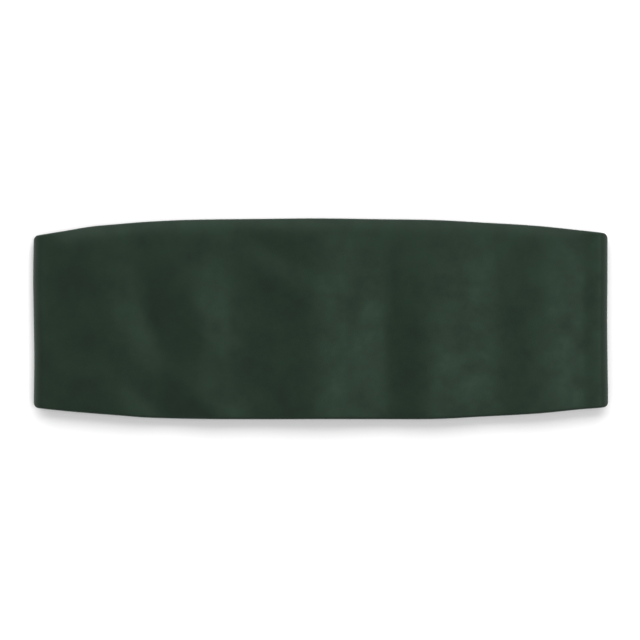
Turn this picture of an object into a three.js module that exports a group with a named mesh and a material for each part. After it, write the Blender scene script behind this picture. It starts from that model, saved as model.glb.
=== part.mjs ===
// A plain-fronted cummerbund: one shaped, interlined band, fastened at the back by two straps and
// a clasp, and laid flat on its back with its front up.
// Millimetres. +X runs along the front, +Y up the wearer's body and +Z out of the front. The
// origin is on the surface that it lies on, under the middle of the band.

import * as THREE from "three";
import { mergeVertices } from "three/addons/utils/BufferGeometryUtils.js";

// Driving dimensions of the band
const FRONT_LENGTH = 372; // from fold to fold, as it lies
const CENTRE_HEIGHT = 130; // the band's height at the middle of the front
const BAND_THICKNESS = 2.4; // face cloth, interlining and backing together
const FOLD_RADIUS = 4.8; // of the cloth's middle, where the band turns under
const TIP_CORNER = 5; // corner radius of a wing's tip

// Driving dimensions of the straps and the clasp
const STRAP_WIDTH = 25;
const STRAP_THICKNESS = 1;
const STRAP_LAP = 24; // how far a strap lies on its wing, where it is sewn down
const BARE_STRAP = 20; // from a wing's tip to the clasp
const STRAP_TURN_BACK = 12; // the left strap's sewn end, past the clasp's hook bar
const TAIL_PAST_LAP = 24; // the right strap's spare length, past its sewn lap
const STRAP_BEND = 2.4; // radius of a strap's gentle bends
const STRAP_SLOPE = 5; // length of the slope from one level of a strap to the next
const STRAP_EASE = 2.5; // from a wing's tip to where the strap leaves the wing's level
const CLASP_THICKNESS = 1.6;
const CLASP_BAR = 3; // width of each bar and side rail
const CLASP_LAND = 7; // solid plate between the hook and the slide
const HOOK_SLOT = 4.4;
const SLIDE_SLOT = 4;
const HOOK_GAP = 2.6; // where the left strap's loop slips on to the hook bar
const CLASP_CORNER = 2.5;
const SLOT_CORNER = 0.75;
const CLASP_BEVEL = 0.25;

// Clearances between pieces
const SEAT_GAP = 0.3; // cloth lying on cloth or on metal
const SLOT_GAP = 0.5; // beside a strap, in the clasp's slots
const FRONT_CLEARANCE = 1; // between the strap's tail and the front's lowest place
const FRONT_SAG = 3.7; // room for the front's hollows and hanging edges above that clearance

// How the front lies
const SETTLE_LENGTH = 84; // from a fold's crest to where the front has come to its rest
const RELIEF_FADE = 21; // from a fold's crest to where the front's waves are at their full height
const TOP_DROP = 2.3; // how far the top edge hangs below the middle
const BOTTOM_DROP = 0.3; // how far the bottom edge does
const EDGE_DROP_FROM = 0.7; // share of the half height where the drop begins
const WAVE_RISE = 2.4; // the unit of the waves' heights

// The band's outline, flat. at: distance from the middle of the front, in half front lengths,
// so that the folds are at -1 and 1 and the wings lie beyond. top and bottom: distance of each
// long edge from the centre line, in half centre heights.
const OUTLINE = [
  { at: -1.82, top: 0.5, bottom: 0.54 },
  { at: -1.4, top: 0.66, bottom: 0.71 },
  { at: -1, top: 0.824, bottom: 0.882 },
  { at: -0.9, top: 0.871, bottom: 0.915 },
  { at: -0.8, top: 0.919, bottom: 0.94 },
  { at: -0.71, top: 0.943, bottom: 0.96 },
  { at: -0.6, top: 0.968, bottom: 0.984 },
  { at: -0.45, top: 0.987, bottom: 0.996 },
  { at: -0.2, top: 0.996, bottom: 1 },
  { at: 0, top: 1, bottom: 0.998 },
  { at: 0.2, top: 0.993, bottom: 0.999 },
  { at: 0.4, top: 0.984, bottom: 0.997 },
  { at: 0.55, top: 0.962, bottom: 0.976 },
  { at: 0.75, top: 0.927, bottom: 0.944 },
  { at: 0.9, top: 0.883, bottom: 0.902 },
  { at: 1, top: 0.848, bottom: 0.876 },
  { at: 1.4, top: 0.68, bottom: 0.7 },
  { at: 1.82, top: 0.52, bottom: 0.52 },
];

// The soft ridges and hollows pressed into the front. across: place along the front, in half
// front lengths. up: place up it, in half centre heights. long and wide: how far it runs and how
// broad it is, in centre heights. turn: degrees that its long way leans to the left of upright.
// rise: its height in WAVE_RISE, negative for a hollow.
const WAVES = [
  { across: -0.84, up: 0.62, long: 0.25, wide: 0.14, turn: 80, rise: 0.25 },
  { across: -0.84, up: -0.36, long: 0.22, wide: 0.08, turn: 75, rise: -0.2 },
  { across: -0.73, up: -0.1, long: 0.9, wide: 0.18, turn: 3, rise: 0.38 },
  { across: -0.575, up: -0.14, long: 0.36, wide: 0.1, turn: 19, rise: -0.68 },
  { across: -0.45, up: 0.25, long: 0.19, wide: 0.12, turn: 30, rise: 0.7 },
  { across: -0.46, up: -0.18, long: 0.13, wide: 0.09, turn: 35, rise: 0.5 },
  { across: -0.54, up: -0.98, long: 0.24, wide: 0.09, turn: 48, rise: -0.6 },
  { across: -0.43, up: -0.78, long: 0.24, wide: 0.08, turn: 56, rise: 0.45 },
  { across: -0.28, up: -0.1, long: 0.7, wide: 0.13, turn: 4, rise: -0.35 },
  { across: -0.16, up: 0.66, long: 0.2, wide: 0.07, turn: 66, rise: -0.32 },
  { across: -0.14, up: 0.38, long: 0.17, wide: 0.08, turn: 66, rise: 0.3 },
  { across: -0.02, up: 0, long: 1.4, wide: 0.15, turn: 0, rise: 0.6 },
  { across: 0.23, up: -0.35, long: 0.4, wide: 0.11, turn: 0, rise: -0.8 },
  { across: 0.375, up: -0.4, long: 0.48, wide: 0.13, turn: 0, rise: 0.52 },
  { across: 0.61, up: -0.3, long: 0.8, wide: 0.12, turn: 0, rise: -0.42 },
  { across: 0.76, up: -0.2, long: 0.9, wide: 0.12, turn: -3, rise: 0.42 },
  { across: 0.9, up: 0, long: 1.1, wide: 0.07, turn: 0, rise: -0.3 },
];

// How finely the pieces are faceted
const FRONT_STEPS = 72;
const FOLD_STEPS = 8;
const WING_STEPS = 6;
const CORNER_STEPS = 4;
const ROWS_ACROSS = 16;
const EDGE_STEPS = 4;
const ARC_STEPS = 6;
const MERGE_DISTANCE = 1e-4;
const SLOPE_PROBE = 0.5; // how far each side of a place its slope is measured

// The clasp's places along X, from its hook bar to its end bar, with the whole centred on the origin
const claspLength = 3 * CLASP_BAR + HOOK_SLOT + CLASP_LAND + 2 * SLIDE_SLOT;
const claspX = { hookBar: -claspLength / 2 };
claspX.hookSlot = claspX.hookBar + CLASP_BAR;
claspX.land = claspX.hookSlot + HOOK_SLOT;
claspX.firstSlot = claspX.land + CLASP_LAND;
claspX.middleBar = claspX.firstSlot + SLIDE_SLOT;
claspX.secondSlot = claspX.middleBar + CLASP_BAR;
claspX.endBar = claspX.secondSlot + SLIDE_SLOT;
claspX.end = claspX.endBar + CLASP_BAR;
const slotHalf = STRAP_WIDTH / 2 + SLOT_GAP;
const claspHalf = slotHalf + CLASP_BAR;

const halfFront = FRONT_LENGTH / 2;
const halfHeight = CENTRE_HEIGHT / 2;
const halfThickness = BAND_THICKNESS / 2;
const foldCentreX = halfFront - halfThickness - FOLD_RADIUS;
const foldCrestZ = halfThickness + 2 * FOLD_RADIUS;
const foldArc = Math.PI * FOLD_RADIUS;
const wingTipX = claspX.end + BARE_STRAP;
const wingLength = foldCentreX - wingTipX;
const bandEnd = foldCentreX + foldArc + wingLength;

// The straps' levels, as heights of a strap's middle over the floor
const strapStep = STRAP_THICKNESS + SEAT_GAP;
const underBarZ = STRAP_THICKNESS / 2;
const claspBaseZ = STRAP_THICKNESS + SEAT_GAP;
const overBarZ = claspBaseZ + CLASP_THICKNESS + SEAT_GAP + STRAP_THICKNESS / 2;
const onWingZ = BAND_THICKNESS + SEAT_GAP + STRAP_THICKNESS / 2;
const tailZ = overBarZ + strapStep;
const tailOnLapZ = onWingZ + strapStep;

// The front rests over the strap's tail, clear of it even in a hollow
const strapsTopZ = Math.max(tailZ, tailOnLapZ) + STRAP_THICKNESS / 2;
const frontRestZ = strapsTopZ + FRONT_CLEARANCE + FRONT_SAG + halfThickness;

const smooth = (t) => {
  const u = THREE.MathUtils.clamp(t, 0, 1);
  return u * u * (3 - 2 * u);
};

// A column of a table at one place, on the smooth curve through its rows
function fromTable(table, column, at) {
  const last = table.length - 1;
  const found = table.findIndex((row) => row.at >= at);
  const i = THREE.MathUtils.clamp(found < 0 ? last : found, 1, last);
  const slopeAt = (k) => {
    const a = table[Math.max(k - 1, 0)];
    const b = table[Math.min(k + 1, last)];
    return (b[column] - a[column]) / (b.at - a.at);
  };
  const [from, to] = [table[i - 1], table[i]];
  const step = to.at - from.at;
  const t = THREE.MathUtils.clamp((at - from.at) / step, 0, 1);
  const toShare = smooth(t);
  return (
    (1 - toShare) * from[column] +
    t * (1 - t) ** 2 * step * slopeAt(i - 1) +
    toShare * to[column] -
    t ** 2 * (1 - t) * step * slopeAt(i)
  );
}

// Height of the front's middle surface over the floor, before its waves: level at each fold's
// crest, and smoothly up or down to its rest within the settle length
function frontZ(x) {
  const fromFold = foldCentreX - Math.abs(x);
  return frontRestZ + (foldCrestZ - frontRestZ) * (1 - smooth(fromFold / SETTLE_LENGTH));
}

// The band's middle line in the XZ plane at distance s along it from the middle of the front:
// the front, a half turn under, and the wing flat on the floor. facing points out of the face cloth.
function bandLine(s) {
  const side = Math.sign(s) || 1;
  const along = Math.abs(s);
  if (along <= foldCentreX) {
    const ahead = Math.min(s + SLOPE_PROBE, foldCentreX);
    const behind = Math.max(s - SLOPE_PROBE, -foldCentreX);
    const facing = new THREE.Vector2(frontZ(behind) - frontZ(ahead), ahead - behind).normalize();
    return { x: s, z: frontZ(s), facing, isFront: true };
  }
  if (along <= foldCentreX + foldArc) {
    const turned = (along - foldCentreX) / FOLD_RADIUS;
    const facing = new THREE.Vector2(side * Math.sin(turned), Math.cos(turned));
    const x = side * foldCentreX + FOLD_RADIUS * facing.x;
    const z = halfThickness + FOLD_RADIUS + FOLD_RADIUS * facing.y;
    return { x, z, facing, isFront: false };
  }
  const x = side * (foldCentreX - (along - foldCentreX - foldArc));
  return { x, z: halfThickness, facing: new THREE.Vector2(0, -1), isFront: false };
}

// How far the front's surface stands out at a point: its waves, less the drop of its long edges.
// Both fade out before the folds.
function frontRelief(x, y, share) {
  const fade = smooth((foldCentreX - Math.abs(x)) / RELIEF_FADE);
  const waves = WAVES.reduce((sum, wave) => {
    const dx = x - wave.across * halfFront;
    const dy = y - wave.up * halfHeight;
    const lean = THREE.MathUtils.degToRad(wave.turn);
    const along = dy * Math.cos(lean) - dx * Math.sin(lean);
    const aside = dx * Math.cos(lean) + dy * Math.sin(lean);
    const far = Math.hypot(along / wave.long, aside / wave.wide) / CENTRE_HEIGHT;
    return sum + wave.rise * WAVE_RISE * Math.exp(-(far ** 2));
  }, 0);
  const overEdge = Math.max(0, (Math.abs(share) - EDGE_DROP_FROM) / (1 - EDGE_DROP_FROM));
  const drop = share > 0 ? TOP_DROP : BOTTOM_DROP;
  return fade * (waves - drop * overEdge ** 3);
}

// The distances along the band at which it is cut into sections, from tip to tip
function bandStations() {
  const half = [];
  for (let i = 1; i <= FRONT_STEPS / 2; i += 1) half.push((foldCentreX * i) / (FRONT_STEPS / 2));
  for (let i = 1; i <= FOLD_STEPS; i += 1) half.push(foldCentreX + (foldArc * i) / FOLD_STEPS);
  const wingStart = foldCentreX + foldArc;
  const flat = wingLength - TIP_CORNER;
  for (let i = 1; i <= WING_STEPS; i += 1) half.push(wingStart + (flat * i) / WING_STEPS);
  for (let i = 1; i <= CORNER_STEPS; i += 1) {
    half.push(bandEnd - TIP_CORNER * (1 - Math.sin((i / CORNER_STEPS) * (Math.PI / 2))));
  }
  return [...half.map((s) => -s).reverse(), 0, ...half];
}

// One section's ring of points: over the face from bottom edge to top edge, round the top edge,
// back over the inside and round the bottom edge. Each edge is a half round of the band's thickness.
function bandSection(s) {
  const line = bandLine(s);
  const at = s / halfFront;
  const intoCorner = Math.max(0, Math.abs(s) - (bandEnd - TIP_CORNER));
  const corner = TIP_CORNER - Math.sqrt(Math.max(0, TIP_CORNER ** 2 - intoCorner ** 2));
  const top = fromTable(OUTLINE, "top", at) * halfHeight - corner;
  const bottom = -fromTable(OUTLINE, "bottom", at) * halfHeight + corner;
  const ring = [];
  const add = (y, out) => {
    const share = y > 0 ? y / top : y / -bottom;
    const lift = line.isFront ? frontRelief(line.x, y, share) : 0;
    const from = lift + out;
    ring.push(new THREE.Vector3(line.x + line.facing.x * from, y, line.z + line.facing.y * from));
  };
  const lowRow = bottom + halfThickness;
  const highRow = top - halfThickness;
  const rowY = (i) => lowRow + ((highRow - lowRow) * i) / ROWS_ACROSS;
  for (let i = 0; i <= ROWS_ACROSS; i += 1) add(rowY(i), halfThickness);
  for (let i = 1; i < EDGE_STEPS; i += 1) {
    const angle = Math.PI * (i / EDGE_STEPS);
    add(highRow + halfThickness * Math.sin(angle), halfThickness * Math.cos(angle));
  }
  for (let i = ROWS_ACROSS; i >= 0; i -= 1) add(rowY(i), -halfThickness);
  for (let i = 1; i < EDGE_STEPS; i += 1) {
    const angle = Math.PI * (1 - i / EDGE_STEPS);
    add(lowRow - halfThickness * Math.sin(angle), halfThickness * Math.cos(angle));
  }
  return ring;
}

// A closed skin through rings of equally many points, with a fan of faces over each end
function skinRings(rings) {
  const count = rings[0].length;
  const middleOf = (ring) => ring.reduce((sum, p) => sum.add(p), new THREE.Vector3()).divideScalar(count);
  const points = [...rings.flat(), middleOf(rings[0]), middleOf(rings[rings.length - 1])];
  const firstMiddle = points.length - 2;
  const lastMiddle = points.length - 1;
  const lastRing = (rings.length - 1) * count;
  const faces = [];
  for (let j = 0; j < count; j += 1) {
    const next = (j + 1) % count;
    for (let i = 0; i < rings.length - 1; i += 1) {
      const [a, b] = [i * count + j, i * count + next];
      const [c, d] = [a + count, b + count];
      faces.push(a, c, b, b, c, d);
    }
    faces.push(firstMiddle, j, next);
    faces.push(lastMiddle, lastRing + next, lastRing + j);
  }
  const geometry = new THREE.BufferGeometry().setFromPoints(points);
  geometry.setIndex(faces);
  geometry.computeVertexNormals();
  return geometry;
}

// A line in the XZ plane through corners, each rounded to its radius: its points, and the
// direction square to it at each
function roundedLine(corners) {
  const path = new THREE.Path();
  path.moveTo(corners[0].x, corners[0].z);
  for (let i = 1; i < corners.length - 1; i += 1) {
    const here = new THREE.Vector2(corners[i].x, corners[i].z);
    const back = new THREE.Vector2(corners[i - 1].x, corners[i - 1].z).sub(here).normalize();
    const on = new THREE.Vector2(corners[i + 1].x, corners[i + 1].z).sub(here).normalize();
    const opening = Math.acos(THREE.MathUtils.clamp(back.dot(on), -1, 1));
    const cut = corners[i].r / Math.tan(opening / 2);
    const start = here.clone().addScaledVector(back, cut);
    const end = here.clone().addScaledVector(on, cut);
    const inward = back.clone().add(on).normalize();
    const centre = here.clone().addScaledVector(inward, corners[i].r / Math.sin(opening / 2));
    const clockwise = back.x * on.y - back.y * on.x > 0;
    path.lineTo(start.x, start.y);
    const angleOf = (p) => Math.atan2(p.y - centre.y, p.x - centre.x);
    path.absarc(centre.x, centre.y, corners[i].r, angleOf(start), angleOf(end), clockwise);
  }
  const end = corners[corners.length - 1];
  path.lineTo(end.x, end.z);
  const points = [];
  for (const piece of path.curves) {
    for (const p of piece.getPoints(piece.isEllipseCurve ? ARC_STEPS : 1)) {
      const isNew = !points.length || points[points.length - 1].distanceTo(p) > MERGE_DISTANCE;
      if (isNew) points.push(p);
    }
  }
  return points;
}

// A strap: a ribbon of constant thickness and width along a rounded line
function strapGeometry(corners) {
  const line = roundedLine(corners);
  const half = STRAP_THICKNESS / 2;
  const squareAt = (i) => {
    const back = line[i].clone().sub(line[Math.max(i - 1, 0)]);
    const on = line[Math.min(i + 1, line.length - 1)].clone().sub(line[i]);
    const way = back.normalize().add(on.normalize()).normalize();
    return new THREE.Vector2(-way.y, way.x);
  };
  const offset = (distance) => line.map((p, i) => p.clone().addScaledVector(squareAt(i), distance));
  const outline = new THREE.Shape([...offset(half), ...offset(-half).reverse()]);
  const geometry = new THREE.ExtrudeGeometry(outline, { depth: STRAP_WIDTH, bevelEnabled: false });
  // The outline is drawn in X and Z, so the extrusion is turned to run along Y
  geometry.rotateX(Math.PI / 2);
  geometry.translate(0, STRAP_WIDTH / 2, 0);
  return geometry;
}

// A closed outline through points, with each corner rounded
function roundedOutline(kind, corners) {
  const outline = new kind();
  corners.forEach((corner, i) => {
    const here = new THREE.Vector2(corner.x, corner.y);
    const neighbour = (k) => {
      const other = corners[(k + corners.length) % corners.length];
      return new THREE.Vector2(other.x, other.y);
    };
    const start = here.clone().addScaledVector(neighbour(i - 1).sub(here).normalize(), corner.r);
    const end = here.clone().addScaledVector(neighbour(i + 1).sub(here).normalize(), corner.r);
    if (i === 0) outline.moveTo(start.x, start.y);
    else outline.lineTo(start.x, start.y);
    outline.quadraticCurveTo(here.x, here.y, end.x, end.y);
  });
  outline.closePath();
  return outline;
}

function claspGeometry() {
  const hookTip = slotHalf - HOOK_GAP;
  const plate = roundedOutline(THREE.Shape, [
    { x: claspX.hookBar, y: -claspHalf, r: CLASP_CORNER },
    { x: claspX.end, y: -claspHalf, r: CLASP_CORNER },
    { x: claspX.end, y: claspHalf, r: CLASP_CORNER },
    { x: claspX.hookBar, y: claspHalf, r: SLOT_CORNER },
    { x: claspX.hookBar, y: slotHalf, r: SLOT_CORNER },
    { x: claspX.land, y: slotHalf, r: SLOT_CORNER },
    { x: claspX.land, y: -slotHalf, r: SLOT_CORNER },
    { x: claspX.hookSlot, y: -slotHalf, r: SLOT_CORNER },
    { x: claspX.hookSlot, y: hookTip, r: SLOT_CORNER },
    { x: claspX.hookBar, y: hookTip, r: SLOT_CORNER },
  ]);
  for (const x of [claspX.firstSlot, claspX.secondSlot]) {
    plate.holes.push(
      roundedOutline(THREE.Path, [
        { x, y: -slotHalf, r: SLOT_CORNER },
        { x, y: slotHalf, r: SLOT_CORNER },
        { x: x + SLIDE_SLOT, y: slotHalf, r: SLOT_CORNER },
        { x: x + SLIDE_SLOT, y: -slotHalf, r: SLOT_CORNER },
      ]),
    );
  }
  const geometry = new THREE.ExtrudeGeometry(plate, {
    depth: CLASP_THICKNESS - 2 * CLASP_BEVEL,
    curveSegments: 3,
    bevelEnabled: true,
    bevelThickness: CLASP_BEVEL,
    bevelSize: CLASP_BEVEL,
    bevelOffset: -CLASP_BEVEL,
    bevelSegments: 1,
  });
  geometry.translate(0, 0, claspBaseZ + CLASP_BEVEL);
  return geometry;
}

// The left strap lies on its wing, steps down to the end that is sewn under it, rises over the hook
// bar and turns down through the hook slot to that end
function leftStrapCorners() {
  const turnX = claspX.hookSlot + SLOT_GAP + STRAP_THICKNESS / 2;
  const turn = (overBarZ - underBarZ) / 2;
  const overEndZ = underBarZ + strapStep;
  const leaveX = SEAT_GAP - wingTipX;
  return [
    { x: -wingTipX - STRAP_LAP, z: onWingZ },
    { x: leaveX, z: onWingZ, r: STRAP_BEND },
    { x: leaveX + STRAP_SLOPE, z: overEndZ, r: STRAP_BEND },
    { x: claspX.hookBar - STRAP_SLOPE, z: overEndZ, r: STRAP_BEND },
    { x: claspX.hookBar, z: overBarZ, r: STRAP_BEND },
    { x: turnX, z: overBarZ, r: turn },
    { x: turnX, z: underBarZ, r: turn },
    { x: claspX.hookBar - STRAP_TURN_BACK, z: underBarZ },
  ];
}

// The right strap lies on its wing, runs over the end bar, down through the second slot, under
// the middle bar and up through the first. Its tail lies back over it and on to the wing.
function rightStrapCorners() {
  const downX = claspX.secondSlot + SLIDE_SLOT / 2;
  const upX = claspX.firstSlot + SLIDE_SLOT / 2;
  const turn = (overBarZ - underBarZ) / 2;
  const lapEnd = wingTipX + STRAP_LAP;
  const leaveX = wingTipX - STRAP_EASE;
  const tailRiseX = claspX.endBar - STRAP_THICKNESS;
  return [
    { x: lapEnd, z: onWingZ },
    { x: leaveX, z: onWingZ, r: STRAP_BEND },
    { x: leaveX - STRAP_SLOPE, z: overBarZ, r: STRAP_BEND },
    { x: downX, z: overBarZ, r: turn },
    { x: downX, z: underBarZ, r: turn },
    { x: upX, z: underBarZ, r: turn },
    { x: upX, z: overBarZ, r: turn },
    { x: claspX.middleBar + CLASP_BAR / 2, z: overBarZ, r: STRAP_BEND },
    { x: tailRiseX, z: tailZ, r: STRAP_BEND },
    { x: leaveX - STRAP_SLOPE, z: tailZ, r: STRAP_BEND },
    { x: leaveX, z: tailOnLapZ, r: STRAP_BEND },
    { x: lapEnd, z: tailOnLapZ, r: STRAP_BEND },
    { x: lapEnd + STRAP_SLOPE, z: onWingZ, r: STRAP_BEND },
    { x: lapEnd + TAIL_PAST_LAP, z: onWingZ },
  ];
}

// Every piece's geometry is one closed surface with its shared corners merged
function piece(name, geometry, material) {
  for (const attribute of ["normal", "uv"]) geometry.deleteAttribute(attribute);
  const closed = mergeVertices(geometry, MERGE_DISTANCE);
  closed.computeVertexNormals();
  const mesh = new THREE.Mesh(closed, material);
  mesh.name = name;
  return mesh;
}

const clothGreen = new THREE.MeshStandardMaterial({ color: 0x2f4037, roughness: 0.62, metalness: 0 });
const strapGreen = new THREE.MeshStandardMaterial({ color: 0x26332c, roughness: 0.75, metalness: 0 });
const darkMetal = new THREE.MeshStandardMaterial({ color: 0x6b6d6c, roughness: 0.35, metalness: 1 });

const cummerbund = new THREE.Group();
cummerbund.add(piece("band", skinRings(bandStations().map(bandSection)), clothGreen));
cummerbund.add(piece("left_strap", strapGeometry(leftStrapCorners()), strapGreen));
cummerbund.add(piece("right_strap", strapGeometry(rightStrapCorners()), strapGreen));
cummerbund.add(piece("clasp", claspGeometry(), darkMetal));

export default cummerbund;
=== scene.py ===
# %% [markdown]
# A plain cummerbund, laid flat. The real thing is one shaped band of pile cloth over a soft
# interlining. Its two ends are turned under behind the front, and two ribbons and a hook-and-slide
# clasp join them there. The cloth could be draped by a simulation, but then its folds would land
# where they liked. Here every surface is worked out with numpy, so that each fold and dent lies
# where the photo shows it. The imported model gives the sizes, so it is loaded first.

# %% Load the imported model
import math

import bpy
import numpy as np
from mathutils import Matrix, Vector


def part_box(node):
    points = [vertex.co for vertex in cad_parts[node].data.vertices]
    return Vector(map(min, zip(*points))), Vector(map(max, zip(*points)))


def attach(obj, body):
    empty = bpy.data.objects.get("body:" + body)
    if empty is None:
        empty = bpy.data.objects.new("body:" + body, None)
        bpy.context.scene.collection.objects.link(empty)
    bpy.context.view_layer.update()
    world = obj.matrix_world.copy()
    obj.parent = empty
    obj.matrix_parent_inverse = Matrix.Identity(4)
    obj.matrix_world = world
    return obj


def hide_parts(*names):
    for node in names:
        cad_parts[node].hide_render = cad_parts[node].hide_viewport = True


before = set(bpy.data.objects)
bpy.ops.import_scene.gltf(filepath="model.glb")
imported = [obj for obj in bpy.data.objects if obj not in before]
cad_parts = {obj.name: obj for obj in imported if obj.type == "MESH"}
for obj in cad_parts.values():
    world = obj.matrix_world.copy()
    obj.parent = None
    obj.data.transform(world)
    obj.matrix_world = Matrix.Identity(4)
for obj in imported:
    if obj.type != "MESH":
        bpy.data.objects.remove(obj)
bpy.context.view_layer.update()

# %% [markdown]
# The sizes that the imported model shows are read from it. Those that lie inside the pieces, such as
# the cloth's thickness, are named in metres, each where it is first needed, and everything else
# follows from them.

# %% Sizes of the pieces
MM = 0.001
band_low, band_high = (np.array(corner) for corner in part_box("band"))
clasp_low, clasp_high = (np.array(corner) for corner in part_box("clasp"))

HALF_FRONT = (band_high[0] - band_low[0]) / 2
HALF_HEIGHT = (band_high[1] - band_low[1]) / 2
WALL = 2.4 * MM
FOLD_RADIUS = 4.8 * MM
BARE_STRAP = 20 * MM

fold_centre = HALF_FRONT - WALL / 2 - FOLD_RADIUS
fold_crest = WALL / 2 + 2 * FOLD_RADIUS
fold_arc = math.pi * FOLD_RADIUS
wing_tip = clasp_high[0] + BARE_STRAP
wing_length = fold_centre - wing_tip
band_end = fold_centre + fold_arc + wing_length
print(f"front {2 * HALF_FRONT:.3f} m, whole band {2 * band_end:.3f} m from tip to tip")

# %% [markdown]
# Every cloth piece below is a closed skin over a grid of points: rings carried along a line. A
# plane with a Solidify modifier would do too, but its edges would be square, and these are round.
# One helper turns such a grid into a mesh. It writes whole arrays at once, which is much faster
# than adding vertices one by one, and it closes each end with one flat face.

# %% A closed skin from rings of points


def skin(name, rings, around, along):
    """Mesh from rings of points, shape (rings, points, 3). Neighbouring rings are joined by quads,
    each ring closes on itself, and the first and last ring are each filled by a flat face. around
    and along are each point's distance over the cloth, in metres, and become the UV map."""
    count, size, _ = rings.shape
    ring, point = np.meshgrid(np.arange(count - 1), np.arange(size), indexing="ij")
    ahead = (point + 1) % size
    quads = np.stack(
        [ring * size + point, (ring + 1) * size + point, (ring + 1) * size + ahead, ring * size + ahead],
        axis=-1,
    ).reshape(-1, 4)
    first_cap = np.arange(size)
    last_cap = (count - 1) * size + first_cap[::-1]
    corners = np.concatenate([quads.ravel(), first_cap, last_cap])
    totals = np.concatenate([np.full(len(quads), 4), [size, size]])
    mesh = bpy.data.meshes.new(name)
    mesh.vertices.add(count * size)
    mesh.vertices.foreach_set("co", rings.astype(np.float32).ravel())
    mesh.loops.add(len(corners))
    mesh.loops.foreach_set("vertex_index", corners.astype(np.int32))
    mesh.polygons.add(len(totals))
    starts = np.concatenate([[0], np.cumsum(totals)[:-1]])
    mesh.polygons.foreach_set("loop_start", starts.astype(np.int32))
    smooth = np.ones(len(totals), bool)
    smooth[-2:] = False
    mesh.polygons.foreach_set("use_smooth", smooth)
    flat = np.stack([along.ravel(), around.ravel()], axis=-1)
    mesh.uv_layers.new(name="cloth").data.foreach_set("uv", flat[corners].astype(np.float32).ravel())
    mesh.update(calc_edges=True)
    mesh.validate()
    made = bpy.data.objects.new(name, mesh)
    bpy.context.scene.collection.objects.link(made)
    print(f"{name}: {len(totals)} faces")
    return made


# %% [markdown]
# The band's middle line runs along the front, round half a turn and back along the wing, all in
# the XZ plane. It could be a curve object with a bevel, but a bevel can't carry the front's dents.
# So it is a function of the distance from the middle of the front, and the cloth keeps its real
# length through the folds.

# %% The band's middle line
FRONT_REST = 11.4 * MM
SETTLE = 84 * MM
SLOPE_PROBE = 0.5 * MM


def ease(t):
    """Smooth step: 3t^2 - 2t^3, with t held between 0 and 1."""
    t = np.clip(t, 0, 1)
    return t * t * (3 - 2 * t)


def front_height(x):
    """Height of the front's middle surface: its rest height, blended into the fold's crest height
    by a smooth step over the settle length."""
    settled = ease((fold_centre - np.abs(x)) / SETTLE)
    return FRONT_REST + (fold_crest - FRONT_REST) * (1 - settled)


def middle_line(s):
    """Place x, z and the outward direction of the band's middle line at distance s along it: the
    front out to the fold's centre, then the angle (s - centre) / radius round the fold, then back
    along the floor."""
    side = np.where(s < 0, -1.0, 1.0)
    far = np.abs(s)
    turned = np.clip((far - fold_centre) / FOLD_RADIUS, 0, np.pi)
    past = np.maximum(far - fold_centre - fold_arc, 0)
    on_front = far <= fold_centre
    x = np.where(on_front, s, side * (fold_centre + FOLD_RADIUS * np.sin(turned) - past))
    z = np.where(on_front, front_height(s), WALL / 2 + FOLD_RADIUS * (1 + np.cos(turned)))
    slope = (front_height(s + SLOPE_PROBE) - front_height(s - SLOPE_PROBE)) / (2 * SLOPE_PROBE)
    out_x = np.where(on_front, -slope / np.hypot(1, slope), side * np.sin(turned))
    out_z = np.where(on_front, 1 / np.hypot(1, slope), np.cos(turned))
    return x, z, out_x, out_z, on_front


print(f"the front rests {FRONT_REST:.4f} m up, and its folds' crests {fold_crest:.4f} m")

# %% [markdown]
# On the real panel the two long edges are cut level across the stomach and taper to the folds. The
# outline could be drawn as a curve by hand. A short table says more: it tells how far each edge
# lies from the centre line at a few places along the band, in shares of the front's half height and
# half length. A cubic through its rows is smooth, and it goes on into the wings, as the cut of the
# real panel does.

# %% The band's outline
OUTLINE = [
    dict(at=-1.82, top=0.5, bottom=0.54),
    dict(at=-1.4, top=0.66, bottom=0.71),
    dict(at=-1.0, top=0.824, bottom=0.882),
    dict(at=-0.9, top=0.871, bottom=0.915),
    dict(at=-0.8, top=0.919, bottom=0.94),
    dict(at=-0.71, top=0.943, bottom=0.96),
    dict(at=-0.6, top=0.968, bottom=0.984),
    dict(at=-0.45, top=0.987, bottom=0.996),
    dict(at=-0.2, top=0.996, bottom=1.0),
    dict(at=0.0, top=1.0, bottom=0.998),
    dict(at=0.2, top=0.993, bottom=0.999),
    dict(at=0.4, top=0.984, bottom=0.997),
    dict(at=0.55, top=0.962, bottom=0.976),
    dict(at=0.75, top=0.927, bottom=0.944),
    dict(at=0.9, top=0.883, bottom=0.902),
    dict(at=1.0, top=0.848, bottom=0.876),
    dict(at=1.4, top=0.68, bottom=0.7),
    dict(at=1.82, top=0.52, bottom=0.52),
]


def through_rows(rows, column, at):
    """Cubic curve through a table's rows. Between two rows the value blends by a smooth step, and
    each row's slope, taken from its two neighbours, bends it."""
    place = np.array([row["at"] for row in rows])
    value = np.array([row[column] for row in rows])
    before = np.maximum(np.arange(len(rows)) - 1, 0)
    after = np.minimum(np.arange(len(rows)) + 1, len(rows) - 1)
    slope = (value[after] - value[before]) / (place[after] - place[before])
    i = np.clip(np.searchsorted(place, at) - 1, 0, len(rows) - 2)
    step = place[i + 1] - place[i]
    t = np.clip((at - place[i]) / step, 0, 1)
    share = ease(t)
    bend = t * (1 - t) ** 2 * slope[i] - t**2 * (1 - t) * slope[i + 1]
    return (1 - share) * value[i] + share * value[i + 1] + step * bend


at_folds = [float(through_rows(OUTLINE, "top", side)) for side in (-1, 1)]
print(f"height at the left and right fold: {at_folds[0]:.2f} and {at_folds[1]:.2f} of the middle's")

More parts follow.
